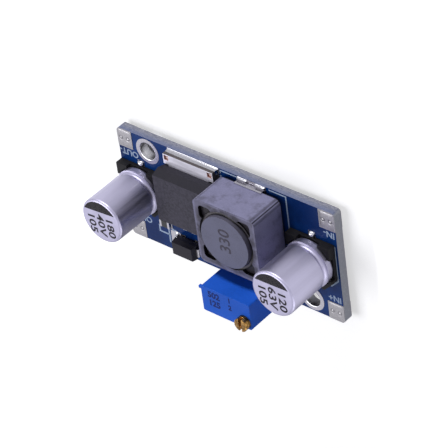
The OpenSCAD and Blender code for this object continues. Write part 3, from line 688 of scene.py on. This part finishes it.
def shield_marks_and_shade(look):
    """Marks and painted light on the choke's shield: a film of resin on its top that stops short of the edge,
    stains round the bore, painted shade on the walls inside, and a painted reflection on the upright corners:
    a pale band between two dark lines."""
    low, high = span("choke_shield")
    half, bore = (high[0] - low[0]) / 2, core_radius() + CHOKE_GAP

    def over(tree, place, body):
        x, y, radius = about(tree, place, "choke_shield")
        level = upward(tree)
        reach = calc(tree, "MAXIMUM", size_of(tree, x), size_of(tree, y))
        smears = step(tree, noise(tree, place, 2.4, 6.0, 0.7), 0.48, 0.7, 0.0, 0.6)
        body = between(tree, smears, body, look.rim)
        edge = step(tree, reach, (half - 0.5) * MM, (half - 0.2) * MM, 1.0, 0.35)
        patches = step(tree, noise(tree, place, 3.0, 3.0), 0.4, 0.6, 0.55, 1.0)
        body = between(tree, times(tree, level, edge, patches), body, look.rim)
        collar = step(tree, radius, (bore + 2.2) * MM, (bore + 0.1) * MM)
        blots = step(tree, noise(tree, place, 1.3, 5.0, 0.65), 0.36, 0.6)
        body = between(tree, times(tree, collar, level, blots, 0.6), body, look.stain_and_shade)
        # Painted reflection: two dark lines and a pale band where the upright corners turn from X to Y.
        normal_x, normal_y, _ = parts_of(tree, facing(tree))
        turn = size_of(tree, times(tree, normal_x, normal_y))
        line = times(tree, step(tree, turn, 0.0, 0.2), step(tree, turn, 0.48, 0.36), 0.45)
        body = between(tree, line, body, look.stain_and_shade)
        body = between(tree, step(tree, turn, 0.4, 0.49, 0.0, 0.5), body, scaled(look.ferrite, 1.5))
        # Painted shade: the walls inside the shield, in its bore and pockets, are made nearly black.
        inside = step(tree, reach, (half - 0.15) * MM, (half - 0.3) * MM)
        walls = times(tree, inside, calc(tree, "SUBTRACT", 1.0, level))
        return between(tree, walls, body, scaled(look.stain_and_shade, 0.3))
    return over


def side_film_and_shade(side):
    """Another colour on the upright and sloping sides than on the top: a film of resin on the core's side,
    and painted shade on the regulator's sides.
    """
    def over(tree, place, body):
        return between(tree, step(tree, parts_of(tree, facing(tree))[2], 0.98, 0.9), body, side)
    return over


def glue_painted_shade(look):
    """Painted shade on the choke's resin: its own colour along the middle of the ring gap, darker against the
    gap's walls and in the pockets."""
    middle, outer = core_radius() + CHOKE_GAP / 2, core_radius() + CHOKE_GAP

    def over(tree, place, body):
        _, _, radius = about(tree, place, "choke_core")
        # Painted shade: darker against both walls of the ring gap, and dark in the pockets.
        walls = step(tree, away(tree, radius, middle * MM), 0.08 * MM, 0.24 * MM)
        ring = between(tree, walls, body, scaled(look.stain_and_shade, 0.5))
        return between(tree, step(tree, radius, outer * MM, (outer + 0.1) * MM), ring, look.stain_and_shade)
    return over


def tab_finish(look):
    """Plated tab, brushed along its width, dark at its sheared faces, with bare copper in the recesses."""
    low, high = span("regulator_tab")
    half, front = (high[0] - low[0]) / 2, low[1]
    sheared = 0.03

    def build(tree, place):
        streak = shared(tree, "streak", Vector=place, Stretch=LENGTHWISE)
        metal = between(tree, streak["Tone"], scaled(look.tab, 0.82), look.tab)
        x, y, _ = parts_of(tree, place)
        off_x = away(tree, x, (low[0] + high[0]) / 2 * MM)
        ends = step(tree, off_x, (half - sheared) * MM, half * MM)
        cut = calc(tree, "MAXIMUM", step(tree, y, (front + sheared) * MM, front * MM), ends)
        metal = between(tree, cut, metal, tone(88, 82, 84))
        recess = calc(tree, "MAXIMUM", away(tree, off_x, (half - RECESS_IN) * MM),
                      away(tree, y, (front + RECESS_IN) * MM))
        inside = step(tree, recess, (RECESS_SIDE / 2 + 0.1) * MM, RECESS_SIDE / 2 * MM)
        metal = between(tree, inside, metal, tone(176, 140, 134))
        centre = step(tree, recess, 0.34 * MM, 0.24 * MM, 0.0, 0.8)
        return (between(tree, centre, metal, tone(240, 218, 214)),
                step(tree, streak["Height"], 0.3, 0.7, 0.38, 0.55),
                bumped(tree, streak["Height"], 0.006, softened(tree, 0.08)))
    return finish("plated tab", build, Metallic=0.6)


def brass_finish(look):
    """Turned brass: fine rings round the screw's axis on its end, and painted shade that darkens it from the
    slot's floor down.
    """
    slot_floor = span("trimmer_screw")[1][2] - SLOT_DEPTH

    def build(tree, place):
        _, _, radius = about(tree, place, "trimmer_screw")
        z = parts_of(tree, place)[2]
        tarnish = step(tree, noise(tree, place, 0.5, 4.0), 0.35, 0.7)
        metal = between(tree, tarnish, scaled(look.brass, 0.28), look.brass)
        # Painted shade: everything from the slot's floor down is made dark.
        deep = step(tree, z, (slot_floor + 0.02) * MM, (slot_floor - 0.05) * MM)
        rings = waves(tree, calc(tree, "ADD", radius, z), 0.09)
        return (between(tree, deep, metal, scaled(look.brass, 0.25)),
                step(tree, noise(tree, place, 0.3, 3.0), 0.3, 0.7, 0.14, 0.3),
                bumped(tree, rings, 0.003, softened(tree, 0.06)))
    return finish("turned brass", build, Metallic=1.0)


def wire_finish(look):
    """Enamelled copper wire: lacquer over copper, its tone drifting along the turns."""
    def build(tree, place):
        drift = noise(tree, vector(tree, "MULTIPLY", place, (1.0, 1.0, 8.0)), 1.2, 3.0)
        return (between(tree, step(tree, drift, 0.3, 0.7), scaled(look.copper, 0.5), look.copper),
                step(tree, noise(tree, place, 0.4), 0.3, 0.7, 0.22, 0.38),
                bumped(tree, noise(tree, place, 0.2, 3.0), 0.006))
    return finish("enamelled wire", build, Metallic=1.0, Coat_Weight=0.6)


def chip_finish(name, node, body, ends, glossy):
    """Chip part: fired body with grain, and a tinned cap over each end."""
    low, high = span(node)
    inner = (high[0] - low[0]) / 2 - CHIP_CAP

    def build(tree, place):
        grains = shared(tree, "grain", Vector=place, Scale=9000.0)
        fired = between(tree, grains["Speckle"], scaled(body, 0.85), body)
        off_x = away(tree, parts_of(tree, place)[0], (low[0] + high[0]) / 2 * MM)
        cap = step(tree, off_x, (inner - 0.01) * MM, (inner + 0.01) * MM)
        return (between(tree, cap, fired, ends), step(tree, cap, 0.0, 1.0, glossy, 0.3),
                bumped(tree, grains["Height"], 0.008, softened(tree, 0.05)), cap)
    return finish(name, build)


def ink_finish(name, shade, under, worn, rough):
    """Printed ink, thin in places so that what is under it shows through."""
    def build(tree, place):
        thin = step(tree, noise(tree, place, 0.22, 5.0, 0.7), 0.5, 0.8, 0.0, worn)
        return (between(tree, thin, shade, under),
                step(tree, noise(tree, place, 0.3), 0.3, 0.7, rough, rough + 0.15),
                bumped(tree, noise(tree, place, 0.12, 4.0), 0.003))
    return finish(name, build, Specular_IOR_Level=0.15)


# Pieces

class MODULE_OT_board(bpy.types.Operator):
    """Solder mask, cut edges and the printed outlines and signs of the board"""
    bl_idname = "module.board"
    bl_label = "Board"

    def choke_outline(self):
        """Lines round the choke, broken at its terminals and once on the right."""
        low, high = span("choke_shield")
        left, right, near, far = low[0] - 0.6, high[0] + 0.17, low[1] - 0.42, high[1] + 0.45
        low, high = span("choke_terminals")
        gap_left, gap_right = low[0] - 0.75, high[0] + 0.2
        break_near, break_far = near + 0.5, near + 0.9
        return [
            [(right, break_near), (right, near), (gap_right, near)],
            [(gap_left, near), (left, near), (left, far), (gap_left, far)],
            [(right, break_far), (right, far), (gap_right, far)],
        ]

    def capacitor_outline(self, end, side, beside=0.03, behind=0.35, beyond=0.14, corner=1.45, tail=0.85):
        """Line along one side of a capacitor, with a cut corner and a short tail."""
        low, high = span(f"{end}_capacitor_base")
        x = (low[0] + high[0]) / 2 + side * ((high[0] - low[0]) / 2 + beside)
        start, y = low[1] + behind, high[1] + beyond
        return [(x, start), (x, y - corner), (x - side * corner, y), (x - side * (corner + tail), y)]

    def diode_sign(self, width, levels):
        """Bar, tail and arrow beside the diode."""
        end, middle = span("diode_terminals")[1][0], middle_of("diode_terminals")[1] - 0.15
        bar, tail = end + 1.85, end + 3.8
        point, heel = bar - 3.2, bar - 0.65
        wedge = [(heel, middle), (point, middle), (point - 0.1, middle - 1.0), (heel, middle - 1.6)]
        lines = [[(bar, middle - 1.57), (bar, middle + 1.55)],
                 [(tail, middle - 1.3), (tail, middle), (bar, middle)]]
        return [plate(np.array(wedge), *levels, PRINT_RIM), *(ribbon(path, width, *levels) for path in lines)]

    def execute(self, context):
        look = context.scene.module_board
        finish_nodes(mask_finish(look), "circuit_board")
        ink = ink_finish("board print", look.ink, look.mask, worn=0.5, rough=0.5)
        width, height = look.line / MM, look.sign / MM
        levels = (TOP - PRINT_SUNK, TOP + BOARD_PRINT)
        lines = self.choke_outline()
        lines += [self.capacitor_outline(*at) for at in (("input", -1), ("output", -1), ("input", 1))]
        piece("board_outlines", [ribbon(path, width, *levels) for path in lines], ink)
        piece("diode_sign", self.diode_sign(1.2 * width, levels), ink)
        signs = [lettering(text, height, x, y, TOP, 0) for text, x, y in SIGNS]
        piece("board_signs", signs, ink)
        return {"FINISHED"}


class MODULE_OT_tinning(bpy.types.Operator):
    """Tinned pads, rings and lands, the solder levelled over the corner pads and the plated hole walls"""
    bl_idname = "module.tinning"
    bl_label = "Tinning"

    def swells(self, node, inset=0.2, rise=0.06, sunk=0.01):
        """Solder on the upper and lower face of a pad."""
        low, high = span(node)
        a, b = low[:2] + inset, high[:2] - inset
        return [tinning(a, b, high[2] - sunk, rise), tinning(a, b, low[2] + sunk, -rise)]

    def hole_wall(self, node):
        """Plated wall of a mounting hole: thickest half way down, with a lip over each ring."""
        low, high = span(node)
        x, y, middle = (low + high) / 2
        lip, shoulder, waist = HOLE_R + 0.06, HOLE_R - 0.015, HOLE_R - 0.03
        wall = [(HOLE_R, low[2]), (HOLE_R, high[2]), (lip, high[2] + 0.02), (shoulder, high[2] - 0.05),
                (waist, middle), (shoulder, low[2] + 0.05), (lip, low[2] - 0.02)]
        return revolve(wall, x, y)

    def execute(self, context):
        look = context.scene.module_metal
        tin = tin_finish("levelled tin", look.tin, lumps=1.1, rough=(0.24, 0.42), depth=0.02)
        dull = tin_finish("dull tin", look.pad, lumps=1.6, rough=(0.34, 0.5), depth=0.015, vias=True)
        plated = tin_finish("plated wall", look.plating, lumps=0.9, rough=(0.12, 0.22), depth=0.008)
        pads = [f"{end}_{pole}_pad" for end in ENDS for pole in ("negative", "positive")]
        rings = [f"{end}_mount_ring" for end in ENDS]
        finish_nodes(tin, *rings, "solder_lands")
        finish_nodes(dull, *pads)
        piece("pad_tinning", [swell for pad in pads for swell in self.swells(pad)], dull)
        piece("hole_plating", [self.hole_wall(ring) for ring in rings], plated)
        return {"FINISHED"}


class MODULE_OT_solder(bpy.types.Operator):
    """Solder at the terminals of the capacitors, choke, regulator, diode and chips, and round the pins"""
    bl_idname = "module.solder"
    bl_label = "Solder"

    def capacitor(self, end, past=0.35, depth=1.0, height=0.5, inset=0.3):
        """Blobs over the two terminals of a capacitor, a little wider than these."""
        low, high = span(f"{end}_capacitor_terminals")
        width, x = high[0] - low[0] + past, (low[0] + high[0]) / 2
        return [bead(width, depth, height, x, y) for y in (low[1] + inset, high[1] - inset)]

    def choke(self, pitch=3.5, width=1.7, depth=0.3, reach=0.2, height=0.34):
        """Solder at the four terminals of the choke."""
        low, high = span("choke_terminals")
        columns = [middle_of("choke_terminals")[0] + side * pitch / 2 for side in (-1, 1)]
        ends = ((high[1], 0), (low[1], 180))
        return [meniscus(width, depth, reach, height, x, y, turn) for x in columns for y, turn in ends]

    def regulator(self, pitch=1.7, width=0.8, reach=0.2):
        """Solder along the tab and at the five leads."""
        low, high = span("regulator_tab")
        middle = (low[0] + high[0]) / 2
        tips = span("regulator_leads")[1][1]
        tab = meniscus(high[0] - low[0], 1.1, reach, 0.75, middle, low[1], 180)
        return [tab, *(meniscus(width, 1.2, reach, 0.4, middle + pitch * i, tips, 0) for i in range(-2, 3))]

    def both_ends(self, node, width, reach, height, depth=0.3):
        """Solder at the two ends of a part that lies along the board."""
        low, high = span(node)
        return [meniscus(width, depth, reach, height, x, (low[1] + high[1]) / 2, turn)
                for x, turn in ((high[0], -90), (low[0], 90))]

    def execute(self, context):
        look = context.scene.module_metal
        bright = tin_finish("bright solder", look.solder, lumps=1.2, rough=(0.14, 0.26), depth=0.006)
        finish_nodes(bright, "trimmer_solder")
        joints = [joint for end in ENDS for joint in self.capacitor(end)]
        joints += self.choke() + self.regulator()
        joints += self.both_ends("diode_terminals", width=1.5, reach=0.8, height=0.9)
        for chip in ("feedback_resistor", "compensation_capacitor"):
            low, high = span(chip)
            joints += self.both_ends(chip, width=1.25, reach=0.2, height=0.7 * (high[2] - low[2]))
        piece("terminal_solder", joints, bright)
        return {"FINISHED"}


class MODULE_OT_capacitors(bpy.types.Operator):
    """Drawn cans with their printed tops, moulded bases and tinned terminals"""
    bl_idname = "module.capacitors"
    bl_label = "Capacitors"

    def can_print(self, end, rows, turn, radius=3.62, chord=1.8, pitch=1.9, height=1.4, aside=0.15, up=0.75):
        """Dark segment of a circle beyond the chord, and rows of figures across the rest of the top."""
        x, y, _ = middle_of(f"{end}_capacitor_can")
        top = span(f"{end}_capacitor_can")[1][2]
        half = np.arccos(chord / radius)
        arc = np.linspace(-np.pi / 2 - half, -np.pi / 2 + half, 40)
        segment = radius * np.column_stack([np.cos(arc), np.sin(arc)])
        parts = [plate(segment, top - PRINT_SUNK, top + PART_PRINT, PRINT_RIM)]
        parts += [lettering(row, height, (i - 1) * pitch + aside, up, top, 90, wide=1.3)
                  for i, row in enumerate(rows.split())]
        return [placed(part, x, y, turn) for part in parts]

    def execute(self, context):
        metal, mould, mark = context.scene.module_metal, context.scene.module_mould, context.scene.module_mark
        cans, bases, leads = ([f"{end}_capacitor_{part}" for end in ENDS]
                              for part in ("can", "base", "terminals"))
        finish_nodes(can_finish(metal), *cans)
        black = mould_finish("black moulding", mould.black, grain=0.18, depth=0.012, rough=(0.42, 0.58),
                             rubbed=1.9)
        finish_nodes(black, *bases, "choke_base")
        plated = tin_finish("plated terminals", metal.tin, lumps=0.8, rough=(0.2, 0.34), depth=0.006)
        finish_nodes(plated, *leads, "choke_terminals", "regulator_leads", "trimmer_pins")
        ink = ink_finish("can print", mark.ink, metal.can, worn=0.05, rough=0.22)
        piece("input_can_print", self.can_print("input", mark.input_can, 1.5), ink)
        piece("output_can_print", self.can_print("output", mark.output_can, 4.5), ink)
        return {"FINISHED"}


class MODULE_OT_choke(bpy.types.Operator):
    """Ferrite shield and drum core with their grain, the enamelled winding, the resin and the figures"""
    bl_idname = "module.choke"
    bl_label = "Choke"

    def execute(self, context):
        mould, metal, mark = context.scene.module_mould, context.scene.module_metal, context.scene.module_mark
        shield = mould_finish("sintered shield", mould.ferrite, grain=0.2, depth=0.012, rough=(0.36, 0.52),
                              edge=0.18, rubbed=0.6, over=shield_marks_and_shade(mould))
        core = mould_finish("ground core", mould.core, grain=0.16, depth=0.008, rough=(0.4, 0.55),
                            edge=0.12, rubbed=0.7, over=side_film_and_shade(mould.rim))
        finish_nodes(shield, "choke_shield")
        finish_nodes(core, "choke_core")
        finish_nodes(wire_finish(metal), "choke_winding", "choke_wire_ends")
        x, y, _ = middle_of("choke_core")
        inner, level = core_radius(), span("choke_shield")[1][2]
        bore, pocket_level = inner + CHOKE_GAP, level - 0.55
        resin = mould_finish("ring glue", mould.glue, grain=0.5, depth=0.02, rough=(0.25, 0.4),
                             over=glue_painted_shade(mould))
        pockets = [pocket_resin(bore, pocket_level, x, y, turn) for turn in (0, 90, 180, 270)]
        piece("choke_glue", [glue_ring(inner, bore, level, x, y), *pockets], resin)
        ink = ink_finish("core print", tone(70, 67, 80), mould.core, worn=0.75, rough=0.5)
        top = span("choke_core")[1][2]
        value = lettering(mark.choke, height=2.1, x=x - 0.15, y=y - 0.35, z=top, turn=-90, bold=0.02)
        piece("choke_print", [value], ink)
        return {"FINISHED"}


class MODULE_OT_regulator(bpy.types.Operator):
    """Moulded body of the regulator and its plated tab"""
    bl_idname = "module.regulator"
    bl_label = "Regulator"

    def execute(self, context):
        mould, metal = context.scene.module_mould, context.scene.module_metal
        # Painted shade: the regulator's sides take half the colour of its top.
        body = mould_finish("regulator moulding", mould.regulator, grain=0.42, depth=0.02, rough=(0.5, 0.62),
                            speckle=1.7, drift=0.62, over=side_film_and_shade(scaled(mould.regulator, 0.5)))
        finish_nodes(body, "regulator_body")
        finish_nodes(tab_finish(metal), "regulator_tab")
        return {"FINISHED"}


class MODULE_OT_small_parts(bpy.types.Operator):
    """Diode, chip resistor and chip capacitor"""
    bl_idname = "module.small_parts"
    bl_label = "Diode and chips"

    def execute(self, context):
        mould, metal = context.scene.module_mould, context.scene.module_metal
        body = mould_finish("diode moulding", mould.diode, grain=0.2, depth=0.012, rough=(0.42, 0.56))
        grey = tin_finish("grey terminals", metal.terminal, lumps=0.8, rough=(0.26, 0.42), depth=0.01)
        finish_nodes(body, "diode_body")
        finish_nodes(grey, "diode_terminals")
        chips = (("resistor", "feedback_resistor", mould.film, 0.2),
                 ("fired chip", "compensation_capacitor", mould.chip, 0.45))
        for name, node, fired, glossy in chips:
            finish_nodes(chip_finish(name, node, fired, metal.tin, glossy), node)
        return {"FINISHED"}


class MODULE_OT_trimmer(bpy.types.Operator):
    """Blue housing, its resin, the turned screw and the printed figures"""
    bl_idname = "module.trimmer"
    bl_label = "Trimmer"

    def column(self, rows, height, x, y, pitch):
        """Rows of figures on the top of the housing, read from the trimmer's side of the board."""
        top = span("trimmer_housing")[1][2]
        return [lettering(row, height, x, y + pitch * i, top, 180, bold=0.06) for i, row in enumerate(rows)]

    def execute(self, context):
        mould, metal, mark = context.scene.module_mould, context.scene.module_metal, context.scene.module_mark
        blue = mould_finish("trimmer moulding", mould.trimmer, grain=0.3, depth=0.006, rough=(0.28, 0.42),
                            rubbed=1.4, speckle=1.06, shine=0.12)
        cast = mould_finish("cast resin", mould.resin, grain=0.6, depth=0.03, rough=(0.3, 0.5))
        finish_nodes(blue, "trimmer_housing")
        finish_nodes(cast, "trimmer_potting")
        finish_nodes(brass_finish(metal), "trimmer_screw")
        ink = ink_finish("trimmer print", tone(10, 34, 104), mould.trimmer, worn=0.4, rough=0.45)
        value = self.column(mark.trimmer.split(), height=1.1, x=-4.4, y=5.45, pitch=1.6)
        pins = self.column("12", height=0.9, x=-7.5, y=5.1, pitch=1.4)
        piece("trimmer_print", value + pins, ink)
        return {"FINISHED"}


# Floor, lamps and camera

# Half the floor's side in metres, its share of the colour in light that isn't seen, and its own white glow
FLOOR_HALF, FLOOR_DULL, FLOOR_GLOW = 3.0, 0.4, 0.52
# Place, width and height of each lamp, and the point they look at, in metres
LAMPS = {
    "key": ((0.08, -0.55, 0.06), 0.4, 0.09),
    "front": ((0.25, 0, 0.5), 0.4, 0.4),
    "fill": ((-0.35, 0.35, 0.16), 0.45, 0.28),
}
LAMP_AIM = Vector((0, 0, 0.005))
SKY = tone(246, 246, 252)
# Camera: where it stands, in metres, the directions of the picture's right and top and of its own back, and
# its lens
EYE = (-0.227939, -0.250359, 0.235887)
RIGHT = (-0.766086, 0.110526, -0.633163)
UP = (0.322812, -0.785679, -0.527731)
BACK = (-0.555791, -0.608681, 0.566219)
LENS = 214.669


def seen(tree):
    """1 for rays from the camera, straight or by a reflection or through glass, and 0 for light."""
    path = put(tree, "ShaderNodeLightPath").outputs
    mirrored = calc(tree, "MAXIMUM", path["Is Glossy Ray"], path["Is Transmission Ray"])
    return calc(tree, "MAXIMUM", path["Is Camera Ray"], mirrored)


class MODULE_OT_stage(bpy.types.Operator):
    """Pale floor, soft lamps, sky and the camera at the photograph's angle"""
    bl_idname = "module.stage"
    bl_label = "Stage"

    def floor(self, look):
        """Level sheet under the module."""
        mesh = bpy.data.meshes.new("floor")
        corners = [(x * FLOOR_HALF, y * FLOOR_HALF, 0) for x, y in ((-1, -1), (1, -1), (1, 1), (-1, 1))]
        mesh.from_pydata(corners, [], [(0, 1, 2, 3)])
        obj = bpy.data.objects.new("floor", mesh)
        bpy.context.scene.collection.objects.link(obj)
        material = bpy.data.materials.new("floor")
        material.use_nodes = True
        tree = material.node_tree
        shader = tree.nodes["Principled BSDF"]
        # For reflected rays the floor's colour and glow follow a painted reflection; the camera sees the
        # plain floor.
        shown_painted_reflection = times(tree, seen(tree), self.floor_painted_reflection(tree))
        pale = between(tree, shown_painted_reflection, scaled(look.floor, FLOOR_DULL), look.floor)
        tree.links.new(pale, shader.inputs["Base Color"])
        shader.inputs["Roughness"].default_value = 0.9
        shader.inputs["Specular IOR Level"].default_value = 0.1
        glow = times(tree, shown_painted_reflection, self.open_floor(tree))
        white = put(tree, "ShaderNodeEmission", {"Color": (1, 1, 1, 1), "Strength": glow}).outputs[0]
        both = put(tree, "ShaderNodeAddShader", {0: shader.outputs[0], 1: white}).outputs[0]
        tree.links.new(both, tree.nodes["Material Output"].inputs["Surface"])
        mesh.materials.append(material)

    def open_floor(self, tree):
        """Strength of the floor's own white: none under the board, from a little inside its outline."""
        x, y, _ = parts_of(tree, here(tree))
        inside = [calc(tree, "SUBTRACT", half * MM, size_of(tree, axis))
                  for half, axis in zip(BOARD_HIGH, (x, y))]
        return step(tree, calc(tree, "MINIMUM", *inside), 1 * MM, 3 * MM, FLOOR_GLOW, 0.0)

    def floor_painted_reflection(self, tree):
        """Painted reflection: how bright the floor is in reflections, apart from how it is lit. It is
        brightest off
            both ends, brighter there than the camera sees it, dim along the tab's side and darker along the
            trimmer's.
            It is 1 for the camera's own rays."""
        x, y, _ = parts_of(tree, here(tree))
        along = step(tree, y, -14 * MM, 12 * MM, 0.7, 0.12)
        ends = step(tree, size_of(tree, x), 22 * MM, 29 * MM, 0.0, 1.5)
        straight = put(tree, "ShaderNodeLightPath").outputs["Is Camera Ray"]
        return calc(tree, "MAXIMUM", straight, calc(tree, "MAXIMUM", along, ends))

    def lamp(self, name, power, place, width, height):
        """Rectangular lamp that looks at the middle of the module."""
        data = bpy.data.lights.new(name, "AREA")
        data.shape = "RECTANGLE"
        data.energy, data.size, data.size_y = power, width, height
        obj = bpy.data.objects.new(name, data)
        obj.location = place
        obj.rotation_euler = (LAMP_AIM - obj.location).to_track_quat("-Z", "Y").to_euler()
        bpy.context.scene.collection.objects.link(obj)

    def sky(self, look):
        """Even light from all round, white to the camera and in reflections."""
        world = bpy.data.worlds.new("studio")
        bpy.context.scene.world = world
        world.use_nodes = True
        tree = world.node_tree
        strength = calc(tree, "MAXIMUM", seen(tree), look.sky)
        tree.links.new(strength, tree.nodes["Background"].inputs["Strength"])
        tree.nodes["Background"].inputs["Color"].default_value = (*SKY, 1)

    def execute(self, context):
        look = context.scene.module_stage
        self.floor(look)
        for name, sizes in LAMPS.items():
            self.lamp(name, getattr(look, name), *sizes)
        self.sky(look)
        camera = bpy.data.objects.new("camera", bpy.data.cameras.new("camera"))
        camera.data.lens = LENS
        camera.data.clip_start = 0.01
        camera.matrix_world = Matrix([*zip(RIGHT, UP, BACK, EYE), (0, 0, 0, 1)])
        context.scene.collection.objects.link(camera)
        context.scene.camera = camera
        context.scene.view_settings.view_transform = "Standard"
        return {"FINISHED"}


OPERATORS = [
    MODULE_OT_board, MODULE_OT_tinning, MODULE_OT_solder, MODULE_OT_capacitors, MODULE_OT_choke,
    MODULE_OT_regulator, MODULE_OT_small_parts, MODULE_OT_trimmer, MODULE_OT_stage,
]


class MODULE_PT_looks(bpy.types.Panel):
    """Properties and steps of the module's looks"""
    bl_idname = "MODULE_PT_looks"
    bl_label = "Boost converter module"
    bl_space_type = "VIEW_3D"
    bl_region_type = "UI"
    bl_category = "Module"

    def draw(self, context):
        for key, look in LOOKS.items():
            box = self.layout.box()
            for name in look.__annotations__:
                box.prop(getattr(context.scene, key), name)
        for operator in OPERATORS:
            self.layout.operator(operator.bl_idname)


def register():
    for item in [*LOOKS.values(), *OPERATORS, MODULE_PT_looks]:
        bpy.utils.register_class(item)
    for key, look in LOOKS.items():
        setattr(bpy.types.Scene, key, PointerProperty(type=look))


def unregister():
    for key in LOOKS:
        delattr(bpy.types.Scene, key)
    for item in [MODULE_PT_looks, *reversed(OPERATORS), *LOOKS.values()]:
        bpy.utils.unregister_class(item)


def main():
    register()
    bpy.ops.module.board()
    bpy.ops.module.tinning()
    bpy.ops.module.solder()
    bpy.ops.module.capacitors()
    bpy.ops.module.choke()
    bpy.ops.module.regulator()
    bpy.ops.module.small_parts()
    bpy.ops.module.trimmer()
    bpy.ops.module.stage()


if __name__ == "__main__":
    main()
